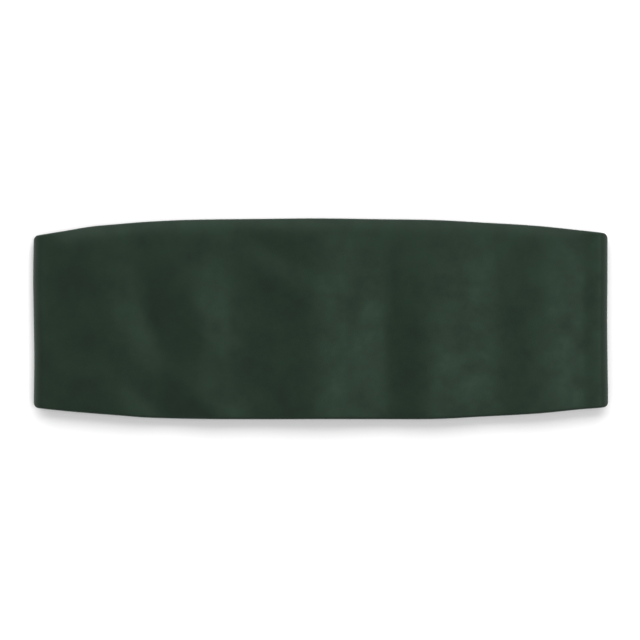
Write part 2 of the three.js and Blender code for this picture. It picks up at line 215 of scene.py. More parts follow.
# %% [markdown]
# The front isn't flat. Broad soft ridges and hollows were pressed into it in storage, and they are
# what the light shows. They could be sculpted, or faked by a bump map, but a bump has no outline
# and a sculpted dent has no size. So each row below is one ridge or hollow: a bell curve, longer
# than it is wide and turned to lean. The long edges hang a little below the middle.

# %% The front's ridges and hollows
WAVE_RISE = 2.4 * MM
TOP_DROP = 2.6 * MM
BOTTOM_DROP = 0.3 * MM
EDGE_DROP_FROM = 0.73
WAVES = [
    dict(across=-0.84, up=0.62, long=0.25, wide=0.14, turn=80, rise=0.25),
    dict(across=-0.84, up=-0.36, long=0.22, wide=0.08, turn=75, rise=-0.2),
    dict(across=-0.73, up=-0.1, long=0.9, wide=0.18, turn=3, rise=0.21),
    dict(across=-0.68, up=0.12, long=0.14, wide=0.06, turn=15, rise=-0.15),
    dict(across=-0.58, up=-0.12, long=0.36, wide=0.1, turn=13, rise=-0.66),
    dict(across=-0.57, up=-0.16, long=0.12, wide=0.065, turn=30, rise=-0.2),
    dict(across=-0.45, up=0.24, long=0.145, wide=0.12, turn=30, rise=0.62),
    dict(across=-0.425, up=-0.1, long=0.13, wide=0.085, turn=50, rise=0.46),
    dict(across=-0.54, up=-0.98, long=0.24, wide=0.09, turn=48, rise=-0.6),
    dict(across=-0.43, up=-0.78, long=0.24, wide=0.08, turn=56, rise=0.45),
    dict(across=-0.28, up=-0.1, long=0.7, wide=0.13, turn=4, rise=-0.35),
    dict(across=-0.16, up=0.66, long=0.2, wide=0.07, turn=66, rise=-0.32),
    dict(across=-0.14, up=0.38, long=0.17, wide=0.08, turn=66, rise=0.3),
    dict(across=-0.02, up=0.0, long=1.4, wide=0.15, turn=0, rise=0.6),
    dict(across=0.23, up=-0.4, long=0.33, wide=0.11, turn=0, rise=-0.8),
    dict(across=0.375, up=-0.4, long=0.44, wide=0.13, turn=0, rise=0.52),
    dict(across=0.6, up=-0.3, long=0.8, wide=0.125, turn=0, rise=-0.43),
    dict(across=0.785, up=-0.2, long=0.9, wide=0.12, turn=-2, rise=0.36),
    dict(across=0.93, up=0.0, long=1.1, wide=0.065, turn=0, rise=-0.42),
]


def hills(x, y, rows):
    """Sum over the rows of rise * exp(-(along/long)^2 - (aside/wide)^2). Here along and aside are
    the distances from the row's middle, turned to its lean, as shares of the front's height, and a
    rise of 1 is the named unit."""
    total = np.zeros_like(x)
    height = 2 * HALF_HEIGHT
    for row in rows:
        lean = math.radians(row["turn"])
        dx = x - row["across"] * HALF_FRONT
        dy = y - row["up"] * HALF_HEIGHT
        along = dy * math.cos(lean) - dx * math.sin(lean)
        aside = dx * math.cos(lean) + dy * math.sin(lean)
        far = np.hypot(along / row["long"], aside / row["wide"]) / height
        total += row["rise"] * WAVE_RISE * np.exp(-(far**2))
    return total


print(f"{len(WAVES)} ridges and hollows, the unit of their height {WAVE_RISE:.4f} m")

# %% [markdown]
# Between its broad waves, real cloth is never quite even: the interlining shows through as faint
# ripples. A noise texture with a Displace modifier would do, but it would also move the edges and
# the inside. A sum of plane sine waves with chance directions is as uneven, and it can be faded
# out towards the folds together with the waves.

# %% Fine ripples, and the whole relief
RIPPLE_RISE = 0.05 * MM
RIPPLE_SHORTEST = 9 * MM
RIPPLE_LONGEST = 30 * MM
RIPPLE_COUNT = 40
RIPPLE_SEED = 11
RELIEF_FADE = 21 * MM
PLACES_MEASURED = 200


def ripples(x, y):
    """Fine unevenness: the sum of many plane sine waves in chance directions over the root of
    their number, each as high as its length's share of the longest."""
    chance = np.random.default_rng(RIPPLE_SEED)
    total = np.zeros_like(x)
    for _ in range(RIPPLE_COUNT):
        length = chance.uniform(RIPPLE_SHORTEST, RIPPLE_LONGEST)
        way = chance.uniform(0, 2 * math.pi)
        phase = chance.uniform(0, 2 * math.pi)
        travel = x * math.cos(way) + y * math.sin(way)
        total += length / RIPPLE_LONGEST * np.sin(2 * math.pi * travel / length + phase)
    return RIPPLE_RISE * total / math.sqrt(RIPPLE_COUNT)


def front_relief(x, y, share):
    """How far the front stands out at a point: its hills and fine ripples, less the drop of the
    long edges, which grows with the cube of the distance past where it begins. All of it
    fades out by a smooth step towards the folds."""
    fade = ease((fold_centre - np.abs(x)) / RELIEF_FADE)
    over_edge = np.maximum(np.abs(share) - EDGE_DROP_FROM, 0) / (1 - EDGE_DROP_FROM)
    drop = np.where(share > 0, TOP_DROP, BOTTOM_DROP) * over_edge**3
    return fade * (hills(x, y, WAVES) - drop + ripples(x, y))


centre_line = np.linspace(-fold_centre, fold_centre, PLACES_MEASURED)
middle_relief = front_relief(centre_line, 0 * centre_line, 0 * centre_line)
print(f"relief along the centre line: {middle_relief.min():.4f} to {middle_relief.max():.4f} m")

# %% [markdown]
# A fold in thick cloth is never a straight line with sharp ends. Its edge wavers by a few tenths of
# a millimetre, and its corners round off where the long edges are pulled in. Both could be left out
# as too small, but a ruled edge is the first thing that looks false. So a radius rounds the corners
# and a small table gives the waver.

# %% The folds' edges
FOLD_CORNER = 2.2 * MM
WAVER_FROM = fold_centre - 40 * MM
FOLD_WAVER = [
    dict(at=-1.0, left=0.0, right=0.4),
    dict(at=-0.8, left=-0.05, right=0.4),
    dict(at=-0.4, left=-0.35, right=0.05),
    dict(at=0.0, left=0.0, right=-0.15),
    dict(at=0.4, left=0.35, right=0.0),
    dict(at=0.8, left=0.05, right=0.05),
    dict(at=1.0, left=0.0, right=0.0),
]


def fold_waver(x, y):
    """How far the cloth near a fold lies further out than the plain line: a cubic through the
    table's rows, in millimetres, growing by a smooth step over the last of the front."""
    share = np.clip(y / HALF_HEIGHT, -1, 1)
    left = -through_rows(FOLD_WAVER, "left", share)
    right = through_rows(FOLD_WAVER, "right", share)
    near_fold = ease((np.abs(x) - WAVER_FROM) / (fold_centre - WAVER_FROM))
    return MM * near_fold * np.where(x < 0, left, right)


def corner_inset(past, radius):
    """How far a round corner cuts in at a distance past its start: r - sqrt(r^2 - past^2)."""
    past = np.clip(past, 0, radius)
    return radius - np.sqrt(radius**2 - past**2)


widest = max(row[side] for row in FOLD_WAVER for side in ("left", "right"))
print(f"fold corners of {FOLD_CORNER:.4f} m, edges wavering by up to {widest * MM:.4f} m")

# %% [markdown]
# Now the band itself. At each place along the middle line a ring runs over the face, round the
# top edge, back over the inside and round the bottom edge. Two sheets joined at their edges would
# look the same from above, but the one closed wall has the cloth's real thickness where the folds
# are seen end on. Its edges are half round, because the cloth is turned over its interlining.

# %% The band
TIP_CORNER = 5 * MM
FRONT_COLUMNS = 300
FOLD_COLUMNS = 20
WING_COLUMNS = 44
CORNER_COLUMNS = 8
ROWS_ACROSS = 100
EDGE_ROWS = 8


def band_stations():
    """Distances along the band at which it has a ring, from tip to tip: even steps over each
    stretch, and steps of even angle round the wing tips' corners."""
    flat_end = band_end - TIP_CORNER
    quarter = np.linspace(0, math.pi / 2, CORNER_COLUMNS + 1)[1:]
    half = np.concatenate([
        np.linspace(0, fold_centre, FRONT_COLUMNS // 2 + 1)[1:],
        np.linspace(fold_centre, fold_centre + fold_arc, FOLD_COLUMNS + 1)[1:],
        np.linspace(fold_centre + fold_arc, flat_end, WING_COLUMNS + 1)[1:],
        flat_end + TIP_CORNER * np.sin(quarter),
    ])
    return np.concatenate([-half[::-1], [0.0], half])


def band_rings(s):
    """Rings of points, one for each distance s. A point lies at a share of the way from the bottom
    edge to the top edge, half the wall's thickness outside or inside the middle line, and on the
    edges at a half circle of that radius."""
    half = WALL / 2
    row = np.linspace(0, 1, ROWS_ACROSS + 1)
    arc = np.linspace(0, math.pi, EDGE_ROWS + 1)[1:-1]
    share = np.concatenate([row, np.ones(len(arc)), row[::-1], np.zeros(len(arc))])
    beyond = np.concatenate([0 * row, np.sin(arc), 0 * row, -np.sin(arc)]) * half
    outward = np.concatenate([1 + 0 * row, np.cos(arc), -1 + 0 * row, -np.cos(arc)]) * half
    turned = np.clip((np.abs(s) - fold_centre) / FOLD_RADIUS, 0, np.pi)
    reach = fold_centre + (FOLD_RADIUS + half) * np.sin(turned)
    corner = corner_inset(np.abs(s) - (band_end - TIP_CORNER), TIP_CORNER)
    corner = corner + corner_inset(reach - (HALF_FRONT - FOLD_CORNER), FOLD_CORNER)
    top = through_rows(OUTLINE, "top", s / HALF_FRONT) * HALF_HEIGHT - corner
    bottom = through_rows(OUTLINE, "bottom", s / HALF_FRONT) * -HALF_HEIGHT + corner
    low, high = bottom + half, top - half
    y = low[:, None] + (high - low)[:, None] * share + beyond
    edge_share = np.where(y > 0, y / top[:, None], y / -bottom[:, None])
    x, z, out_x, out_z, on_front = (part[:, None] for part in middle_line(s))
    lift = np.where(on_front, front_relief(x + 0 * y, y, edge_share), 0) + outward
    rings = np.stack([x + out_x * lift + fold_waver(x, y), y, z + out_z * lift], axis=-1)
    return rings, y, s[:, None] + 0 * y


rings, across_cloth, along_cloth = band_rings(band_stations())
band = skin("band_cloth", rings, across_cloth, along_cloth)

# %% [markdown]
# Each strap is one woven ribbon. It follows a line of straight runs and round bends in the XZ
# plane: over its wing, along a short slope, and through the clasp. A Bezier curve with a flat bevel
# could carry it, but its handles would have to be set by eye. Here the corners of the two lines
# come from the clasp's bars and from the levels at which cloth lies on cloth, so nothing cuts
# through.

# %% The straps' lines
RIBBON = 1 * MM
STRAP_LAP = 24 * MM
TURN_BACK = 12 * MM
TAIL_PAST_LAP = 24 * MM
GENTLE_BEND = 2.4 * MM
SLOPE = 5 * MM
EASE_OFF = 2.5 * MM
BAR = 3 * MM
LAND = 7 * MM
HOOK_SLOT = 4.4 * MM
SLIDE_SLOT = 4 * MM
SLOT_GAP = 0.5 * MM
SEAT_GAP = 0.3 * MM

hook_bar = clasp_low[0]
hook_slot = hook_bar + BAR
first_slot = hook_slot + HOOK_SLOT + LAND
middle_bar = first_slot + SLIDE_SLOT
second_slot = middle_bar + BAR
end_bar = second_slot + SLIDE_SLOT

layer = RIBBON + SEAT_GAP
under_bar = RIBBON / 2
over_bar = clasp_high[2] + SEAT_GAP + RIBBON / 2
on_wing = WALL + SEAT_GAP + RIBBON / 2
over_tail_level = over_bar + layer
over_lap_level = on_wing + layer
tight_bend = (over_bar - under_bar) / 2
lap_end = wing_tip + STRAP_LAP
tail_end = lap_end + TAIL_PAST_LAP
leaves_wing = wing_tip - EASE_OFF
loop_turn = hook_slot + SLOT_GAP + RIBBON / 2
down_slot = second_slot + SLIDE_SLOT / 2
up_slot = first_slot + SLIDE_SLOT / 2

LEFT_LINE = [
    dict(x=-lap_end, z=on_wing, bend=0),
    dict(x=SEAT_GAP - wing_tip, z=on_wing, bend=GENTLE_BEND),
    dict(x=SEAT_GAP - wing_tip + SLOPE, z=under_bar + layer, bend=GENTLE_BEND),
    dict(x=hook_bar - SLOPE, z=under_bar + layer, bend=GENTLE_BEND),
    dict(x=hook_bar, z=over_bar, bend=GENTLE_BEND),
    dict(x=loop_turn, z=over_bar, bend=tight_bend),
    dict(x=loop_turn, z=under_bar, bend=tight_bend),
    dict(x=hook_bar - TURN_BACK, z=under_bar, bend=0),
]
RIGHT_LINE = [
    dict(x=lap_end, z=on_wing, bend=0),
    dict(x=leaves_wing, z=on_wing, bend=GENTLE_BEND),
    dict(x=leaves_wing - SLOPE, z=over_bar, bend=GENTLE_BEND),
    dict(x=down_slot, z=over_bar, bend=tight_bend),
    dict(x=down_slot, z=under_bar, bend=tight_bend),
    dict(x=up_slot, z=under_bar, bend=tight_bend),
    dict(x=up_slot, z=over_bar, bend=tight_bend),
    dict(x=middle_bar + BAR / 2, z=over_bar, bend=GENTLE_BEND),
    dict(x=end_bar - RIBBON, z=over_tail_level, bend=GENTLE_BEND),
    dict(x=leaves_wing - SLOPE, z=over_tail_level, bend=GENTLE_BEND),
    dict(x=leaves_wing, z=over_lap_level, bend=GENTLE_BEND),
    dict(x=lap_end, z=over_lap_level, bend=GENTLE_BEND),
    dict(x=lap_end + SLOPE, z=on_wing, bend=GENTLE_BEND),
    dict(x=tail_end, z=on_wing, bend=0),
]
ARC_POINTS = 25


def rounded_line(corners, step):
    """Places along a line whose corners are rounded, at even steps, and the distance to each. The
    arc at a corner touches both sides: it starts radius / tan(half the opening) from the corner."""
    ends = np.array([[corner["x"], corner["z"]] for corner in corners])
    points = [ends[:1]]
    for before, here, after, corner in zip(ends, ends[1:], ends[2:], corners[1:]):
        back, on = before - here, after - here
        back, on = back / np.hypot(*back), on / np.hypot(*on)
        half_opening = math.acos(np.clip(back @ on, -1, 1)) / 2
        radius = corner["bend"]
        inward = (back + on) / np.hypot(*(back + on))
        centre = here + inward * radius / math.sin(half_opening)
        start = here + back * radius / math.tan(half_opening) - centre
        end = here + on * radius / math.tan(half_opening) - centre
        first = math.atan2(start[1], start[0])
        sweep = math.atan2(start[0] * end[1] - start[1] * end[0], start @ end)
        turned = first + sweep * np.linspace(0, 1, ARC_POINTS)
        points.append(centre + radius * np.stack([np.cos(turned), np.sin(turned)], axis=1))
    points = np.vstack(points + [ends[-1:]])
    gone = np.concatenate([[0], np.cumsum(np.hypot(*np.diff(points, axis=0).T))])
    at = np.linspace(0, gone[-1], int(gone[-1] / step) + 1)
    return np.interp(at, gone, points[:, 0]), np.interp(at, gone, points[:, 1]), at


print(f"lines of {len(LEFT_LINE)} and {len(RIGHT_LINE)} corners, the lap {STRAP_LAP:.3f} m long")

# %% [markdown]
# The ribbon is a grosgrain: fine ribs run across it, because its filling threads are thicker than
# its warp. A bump map could draw them, but they would vanish at the ribbon's outline, where ribs
# show best. So they are modelled, six rings to a rib, and the two selvedges are round.

# %% The two straps
RIB_PITCH = 1.05 * MM
RIB_HEIGHT = 0.05 * MM
RINGS_PER_RIB = 6
RIBBON_ROWS = 14
SELVEDGE_ROWS = 5
left_low, left_high = (np.array(corner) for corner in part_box("left_strap"))
half_ribbon = (left_high[1] - left_low[1]) / 2


def ribbon(name, corners):
    """A ribbon along a rounded line. Its half thickness swells and shrinks by a cosine of the
    distance along it, and each selvedge is a half circle of that radius."""
    x, z, at = rounded_line(corners, RIB_PITCH / RINGS_PER_RIB)
    way = np.stack([np.gradient(x), np.gradient(z)], axis=1)
    way /= np.hypot(way[:, 0], way[:, 1])[:, None]
    half = RIBBON / 2 - RIB_HEIGHT / 2 * (1 - np.cos(2 * math.pi * at / RIB_PITCH))
    row = np.linspace(-1, 1, RIBBON_ROWS + 1)
    arc = np.linspace(0, math.pi, SELVEDGE_ROWS + 1)[1:-1]
    flat_part = half_ribbon - RIBBON / 2
    level = np.concatenate([row, np.ones(len(arc)), row[::-1], -np.ones(len(arc))]) * flat_part
    beyond = np.concatenate([0 * row, np.sin(arc), 0 * row, -np.sin(arc)])
    outward = np.concatenate([1 + 0 * row, np.cos(arc), -1 + 0 * row, -np.cos(arc)])
    y = level + half[:, None] * beyond
    out = half[:, None] * outward
    rings = np.stack([x[:, None] - way[:, 1:] * out, y, z[:, None] + way[:, :1] * out], axis=-1)
    made = skin(name, rings, y, at[:, None] + 0 * y)
    return made, at[-1]


left_ribbon, left_length = ribbon("left_strap_ribbon", LEFT_LINE)
right_ribbon, right_length = ribbon("right_strap_ribbon", RIGHT_LINE)
print(f"left strap {left_length:.4f} m, right strap {right_length:.4f} m along the ribbon")

# %% [markdown]
# The straps are sewn to the wings by a box of stitches with a cross in it, which shows on the
# wings' outer face too. The left strap's turned-back end has two rows, and the tail's hem one.
# They could be drawn by hand, seam by seam. Here each straight seam is one row that says where it
# starts and ends, and all of them keep the same distance from the cloth's edges.

# %% Seams
SEAM_INSET = 2.5 * MM
seam_half = half_ribbon - SEAM_INSET
box_near = wing_tip + SEAM_INSET
box_far = lap_end - SEAM_INSET
ribbon_top = on_wing + RIBBON / 2
turned_end = hook_bar - TURN_BACK


def box_and_cross(side, z, up):
    """Rows for one sewn box: its four sides and its two diagonals, at height z, facing up or down."""
    near, far = side * box_near, side * box_far
    low_y, high_y = -seam_half, seam_half
    ends = [
        (near, low_y, far, low_y), (far, low_y, far, high_y), (far, high_y, near, high_y),
        (near, high_y, near, low_y), (near, low_y, far, high_y), (near, high_y, far, low_y),
    ]
    return [dict(x=a, y=b, to_x=c, to_y=d, z=z, up=up) for a, b, c, d in ends]


def seam_across(x, z, up):
    """A row straight across the ribbon."""
    return [dict(x=x, y=-seam_half, to_x=x, to_y=seam_half, z=z, up=up)]


left_seams = (
    box_and_cross(-1, ribbon_top, 1)
    + seam_across(turned_end + SEAM_INSET, under_bar + layer + RIBBON / 2, 1)
    + seam_across(turned_end + SEAM_INSET, 0, -1)
    + seam_across(turned_end + 2 * SEAM_INSET, 0, -1)
)
right_seams = seam_across(tail_end - SEAM_INSET, ribbon_top, 1)
wing_seams = box_and_cross(-1, 0, -1) + box_and_cross(1, 0, -1)
print(f"{len(left_seams)} seams on the left strap, {len(right_seams)} on the right,"
      f" {len(wing_seams)} on the wings")

# %% [markdown]
# Stitches could be painted on, but real thread stands up and casts a small shadow. Each could be a
# short curve with a bevel, but that makes an object of every stitch. So one small rounded thread
# with few faces is worked out, and its copies along all of a piece's seams go into one mesh.

# %% Stitches
STITCH = 2.3 * MM
STITCH_GAP = 0.5 * MM
THREAD = 0.42 * MM
STITCH_RINGS = 7
STITCH_SIDES = 6
STITCH_FLATTENED = 0.8
STITCH_SUNK = 0.1
STITCH_END = 0.02


def stitches(name, seams):
    """One mesh of all the seams' stitches. A stitch is a tube whose half width is
    thread / 2 * (1 - t^4) ^ 1/2 along it, t from -1 to 1, flattened and sunk a little. Its two
    ends are closed. On a seam that faces down it is turned over, so its faces still point out."""
    t = np.linspace(-1, 1, STITCH_RINGS)
    turned = np.linspace(0, 2 * math.pi, STITCH_SIDES + 1)[:-1]
    girth = THREAD / 2 * np.sqrt(np.maximum(1 - t**4, STITCH_END))
    along = (STITCH / 2 * t)[:, None] + 0 * turned
    aside = girth[:, None] * np.cos(turned)
    above = girth[:, None] * np.sin(turned) * STITCH_FLATTENED
    points, size = [], along.size
    for seam in seams:
        run = np.array([seam["to_x"] - seam["x"], seam["to_y"] - seam["y"]])
        length = np.hypot(*run)
        count = max(1, round(length / (STITCH + STITCH_GAP)))
        way = run / length
        middle = (np.arange(count) + 0.5) * length / count
        place = np.array([seam["x"], seam["y"]]) + middle[:, None] * way
        leftwards = seam["up"] * np.array([-way[1], way[0]])
        spread = place[:, None, None, :] + along[..., None] * way + aside[..., None] * leftwards
        height = seam["z"] + seam["up"] * (above - STITCH_SUNK * THREAD) + 0 * spread[..., 0]
        points.append(np.concatenate([spread, height[..., None]], axis=-1).reshape(-1, 3))
    points = np.concatenate(points)
    ring, point = np.meshgrid(np.arange(STITCH_RINGS - 1), np.arange(STITCH_SIDES), indexing="ij")
    ahead = (point + 1) % STITCH_SIDES
    near, far = ring * STITCH_SIDES, (ring + 1) * STITCH_SIDES
    quads = np.stack([near + point, near + ahead, far + ahead, far + point], axis=-1).reshape(-1, 4)
    first_end = np.arange(STITCH_SIDES)[::-1]
    last_end = size - STITCH_SIDES + np.arange(STITCH_SIDES)
    starts = np.arange(len(points) // size)[:, None, None] * size
    quads = (quads + starts).reshape(-1, 4)
    ends = (np.stack([first_end, last_end]) + starts).reshape(-1, STITCH_SIDES)
    mesh = bpy.data.meshes.new(name)
    mesh.from_pydata(points.tolist(), [], quads.tolist() + ends.tolist())
    mesh.shade_smooth()
    made = bpy.data.objects.new(name, mesh)
    bpy.context.scene.collection.objects.link(made)
    print(f"{name}: {len(starts)} stitches, {len(quads) + len(ends)} faces")
    return made


left_stitches = stitches("left_strap_stitches", left_seams)
right_stitches = stitches("right_strap_stitches", right_seams)
wing_stitches = stitches("wing_stitches", wing_seams)

# %% [markdown]
# Pile cloth has two things to see close up: the grain of its fibre tips, and slow patches where
# the nap lies a little differently. Hair particles could stand for the fibres, but at this size
# they would cost much and show little. Two noises in one node group do it: a fine one for the
# grain's height, and a coarse one for the patches. A few short helpers build such nodes.

# %% Shared pattern: short pile
GRAIN_SCALE = 2200.0
NAP_SCALE = 60.0


def new_group(name, inputs, outputs):
    """An empty shader node group with named float or colour sockets."""
    group = bpy.data.node_groups.new(name, "ShaderNodeTree")
    for label, kind, value in inputs:
        socket = group.interface.new_socket(name=label, in_out="INPUT", socket_type=kind)
        if value is not None:
            socket.default_value = value
    for label, kind in outputs:
        group.interface.new_socket(name=label, in_out="OUTPUT", socket_type=kind)
    return group


def link(tree, *pairs):
    """Joins each pair of sockets."""
    for start, end in pairs:
        tree.links.new(start, end)


def maths(tree, operation, *values):
    """A Math node; values are numbers or sockets. Its output is returned."""
    node = tree.nodes.new("ShaderNodeMath")
    node.operation = operation
    for i, value in enumerate(values):
        if isinstance(value, (int, float)):
            node.inputs[i].default_value = value
        else:
            tree.links.new(value, node.inputs[i])
    return node.outputs[0]


def noise(tree, vector, scale, detail=2.0, roughness=0.5):
    """A Noise Texture's value output at that scale."""
    node = tree.nodes.new("ShaderNodeTexNoise")
    node.inputs["Detail"].default_value = detail
    node.inputs["Roughness"].default_value = roughness
    if isinstance(scale, (int, float)):
        node.inputs["Scale"].default_value = scale
    else:
        tree.links.new(scale, node.inputs["Scale"])
    tree.links.new(vector, node.inputs["Vector"])
    return node.outputs["Fac"]


def pile_group():
    """Height of a pile's grain, and a mask of where its nap lies flat. Both are noise on the place
    given."""
    group = new_group(
        "short_pile",
        [("Place", "NodeSocketVector", None), ("Grain Scale", "NodeSocketFloat", GRAIN_SCALE),
         ("Nap Scale", "NodeSocketFloat", NAP_SCALE)],
        [("Height", "NodeSocketFloat"), ("Nap", "NodeSocketFloat")],
    )
    source = group.nodes.new("NodeGroupInput")
    result = group.nodes.new("NodeGroupOutput")
    grain = noise(group, source.outputs["Place"], source.outputs["Grain Scale"], detail=3.0)
    nap = noise(group, source.outputs["Place"], source.outputs["Nap Scale"], detail=3.0, roughness=0.6)
    link(group, (grain, result.inputs["Height"]), (nap, result.inputs["Nap"]))
    return group


short_pile = pile_group()
print(f"node group {short_pile.name} with {len(short_pile.nodes)} nodes")

# %% [markdown]
# The band's cloth is dark bottle green. From above it is almost matt, but where it turns away from
# the eye its fibre tips catch the light, so its rims look greyish. Sheen alone could give that,
# but only on the last pixel. So that sheen is also painted into the colour, which turns towards a
# paler grey-green as the cloth turns away, and a painted highlight lies at the left fold. Where the
# nap lies flat, the cloth is a little lighter and smoother.

# %% The band's cloth
BAND_GREEN = (0.0048, 0.0104, 0.006)
# The next colour is a painted sheen: the grey-green that the cloth's colour turns to where it faces away
# and at the left fold.
PAINTED_RIM_SHEEN = (0.018, 0.025, 0.0205)
GLOSS = 0.168
GLOSS_TINT = (0.66, 1.0, 0.76, 1)
BLOOM = 0.21
BLOOM_ROUGHNESS = 0.45
BLOOM_TINT = (0.76, 0.97, 0.86, 1)
GRAIN_WEIGHT = 0.4
NAP_WEIGHT = 1.8
TONE_RANGE = 0.42
ROUGHEST_NAP = 0.535
NAP_SMOOTHS = 0.27
RIM_ROUGHENS = 0.4
RIM_BLEND = 0.89
# Painted highlight at the left fold: where it begins and how strong it grows.
FOLD_HIGHLIGHT_FROM = HALF_FRONT - 13 * MM
FOLD_HIGHLIGHT_MOST = 0.5
PILE_DEPTH = 0.07 * MM


def start_material(name, **settings):
    """A new material, its tree and its Principled shader, with the named sockets set."""
    material = bpy.data.materials.new(name)
    material.use_nodes = True
    shader = material.node_tree.nodes["Principled BSDF"]
    for label, value in settings.items():
        shader.inputs[label.replace("_", " ")].default_value = value
    return material, material.node_tree, shader


def scaled(colour, times):
    """A colour with each of its parts multiplied."""
    return tuple(times * part for part in colour)


def two_colours(tree, mask, low, high):
    """A Mix node between two colours by a mask. A colour is three numbers or a socket. The mix's
    colour output is returned."""
    mix = tree.nodes.new("ShaderNodeMix")
    mix.data_type = "RGBA"
    for label, colour in (("A", low), ("B", high)):
        if isinstance(colour, tuple):
            mix.inputs[label].default_value = (*colour, 1)
        else:
            tree.links.new(colour, mix.inputs[label])
    tree.links.new(mask, mix.inputs["Factor"])
    return mix.outputs["Result"]


def bumped(tree, shader, height, distance):
    """Feeds the height through a Bump node into the shader's normal."""
    bump = tree.nodes.new("ShaderNodeBump")
    bump.inputs["Distance"].default_value = distance
    link(tree, (height, bump.inputs["Height"]), (bump.outputs["Normal"], shader.inputs["Normal"]))


def painted_fold_highlight(tree, place, nap):
    """How much painted highlight lies at the left fold: a smooth step of X over the last of the
    front, times the nap's patches."""
    across = tree.nodes.new("ShaderNodeSeparateXYZ")
    step = tree.nodes.new("ShaderNodeMapRange")
    step.interpolation_type = "SMOOTHSTEP"
    step.inputs["From Min"].default_value = -FOLD_HIGHLIGHT_FROM
    step.inputs["From Max"].default_value = -HALF_FRONT
    step.inputs["To Max"].default_value = FOLD_HIGHLIGHT_MOST
    link(tree, (place, across.inputs["Vector"]), (across.outputs["X"], step.inputs["Value"]))
    return maths(tree, "MULTIPLY", step.outputs["Result"], nap)


def band_cloth_material():
    """Green by the tone = grain weight * height + nap weight * nap, about its middle, mixed with
    a painted rim sheen by the larger of facing away and the painted highlight at the left fold.
    The roughness falls with the nap and rises where the cloth faces away."""
    material, tree, shader = start_material(
        "dark_green_pile",
        Specular_IOR_Level=GLOSS,
        Specular_Tint=GLOSS_TINT,
        Sheen_Weight=BLOOM,
        Sheen_Roughness=BLOOM_ROUGHNESS,
        Sheen_Tint=BLOOM_TINT,
    )
    place = tree.nodes.new("ShaderNodeTexCoord").outputs["Object"]
    pile = tree.nodes.new("ShaderNodeGroup")
    pile.node_tree = short_pile
    link(tree, (place, pile.inputs["Place"]))
    nap = pile.outputs["Nap"]
    level = (1 - GRAIN_WEIGHT - NAP_WEIGHT) / 2
    tone = maths(tree, "MULTIPLY_ADD", pile.outputs["Height"], GRAIN_WEIGHT, level)
    tone = maths(tree, "MULTIPLY_ADD", nap, NAP_WEIGHT, tone)
    dark, light = scaled(BAND_GREEN, 1 - TONE_RANGE), scaled(BAND_GREEN, 1 + TONE_RANGE)
    turned_away = tree.nodes.new("ShaderNodeLayerWeight")
    turned_away.inputs["Blend"].default_value = RIM_BLEND
    facing_away = turned_away.outputs["Facing"]
    # Mask of the painted sheen: the larger of facing away and the left fold's painted highlight.
    painted_sheen_mask = maths(tree, "MAXIMUM", facing_away, painted_fold_highlight(tree, place, nap))
    colour = two_colours(tree, painted_sheen_mask, two_colours(tree, tone, dark, light), PAINTED_RIM_SHEEN)
    rough = maths(tree, "MULTIPLY_ADD", nap, -NAP_SMOOTHS, ROUGHEST_NAP)
    rough = maths(tree, "MULTIPLY_ADD", facing_away, RIM_ROUGHENS, rough)
    link(tree, (colour, shader.inputs["Base Color"]), (rough, shader.inputs["Roughness"]))
    bumped(tree, shader, pile.outputs["Height"], PILE_DEPTH)
    return material


band.data.materials.append(band_cloth_material())
print("band: green", BAND_GREEN, "turning to", PAINTED_RIM_SHEEN, "at its rims")

# %% [markdown]
# The straps' ribbon is matt and nearly black, a little greener where its warp threads lie high.
# It could share the band's material, but woven silk has no pile. So a noise that is stretched
# along the ribbon stands for the warp. It varies the colour and lifts the surface a little.

# %% The ribbon's material
RIBBON_GREEN = (0.008, 0.016, 0.011)
WARP_STRETCH = 0.12
WARP_SCALE = 4200.0
WARP_RANGE = 0.4
WARP_HEIGHT = 0.06 * MM


def ribbon_material():
    """Silk ribbon: the warp is a noise whose X and Z are multiplied by the stretch, which draws it
    out along both. It mixes a darker and a lighter green."""
    material, tree, shader = start_material(
        "grosgrain", Roughness=0.55, Specular_IOR_Level=0.3, Sheen_Weight=0.1, Sheen_Roughness=0.4
    )
    place = tree.nodes.new("ShaderNodeTexCoord").outputs["Object"]
    stretch = tree.nodes.new("ShaderNodeMapping")
    stretch.inputs["Scale"].default_value = (WARP_STRETCH, 1, WARP_STRETCH)
    link(tree, (place, stretch.inputs["Vector"]))
    warp = noise(tree, stretch.outputs["Vector"], WARP_SCALE)
    dark, light = scaled(RIBBON_GREEN, 1 - WARP_RANGE), scaled(RIBBON_GREEN, 1 + WARP_RANGE)
    link(tree, (two_colours(tree, warp, dark, light), shader.inputs["Base Color"]))
    bumped(tree, shader, warp, WARP_HEIGHT)
    return material


grosgrain = ribbon_material()
for piece in (left_ribbon, right_ribbon):
    piece.data.materials.append(grosgrain)
print("ribbon: green", RIBBON_GREEN, "warp scale", WARP_SCALE)

# %% [markdown]
# The sewing thread is polyester, a little lighter and shinier than the ribbon, so that its rows
# can be seen. A plain colour would look like plastic. A fine noise breaks it up, as the twist of
# the real thread's plies does.

# %% The thread's material
THREAD_GREEN = (0.02, 0.04, 0.028)
TWIST_SCALE = 6000.0
TWIST_RANGE = 0.3
TWIST_HEIGHT = 0.05 * MM


def thread_material():
    """Twisted thread: a fine noise mixes its green with a darker one."""
    material, tree, shader = start_material("sewing_thread", Roughness=0.5, Specular_IOR_Level=0.4)
    place = tree.nodes.new("ShaderNodeTexCoord").outputs["Object"]
    twist = noise(tree, place, TWIST_SCALE, detail=1.0)
    dark = scaled(THREAD_GREEN, 1 - TWIST_RANGE)
    link(tree, (two_colours(tree, twist, dark, THREAD_GREEN), shader.inputs["Base Color"]))
    bumped(tree, shader, twist, TWIST_HEIGHT)
    return material


sewing_thread = thread_material()
for piece in (left_stitches, right_stitches, wing_stitches):
    piece.data.materials.append(sewing_thread)
print("thread: green", THREAD_GREEN)

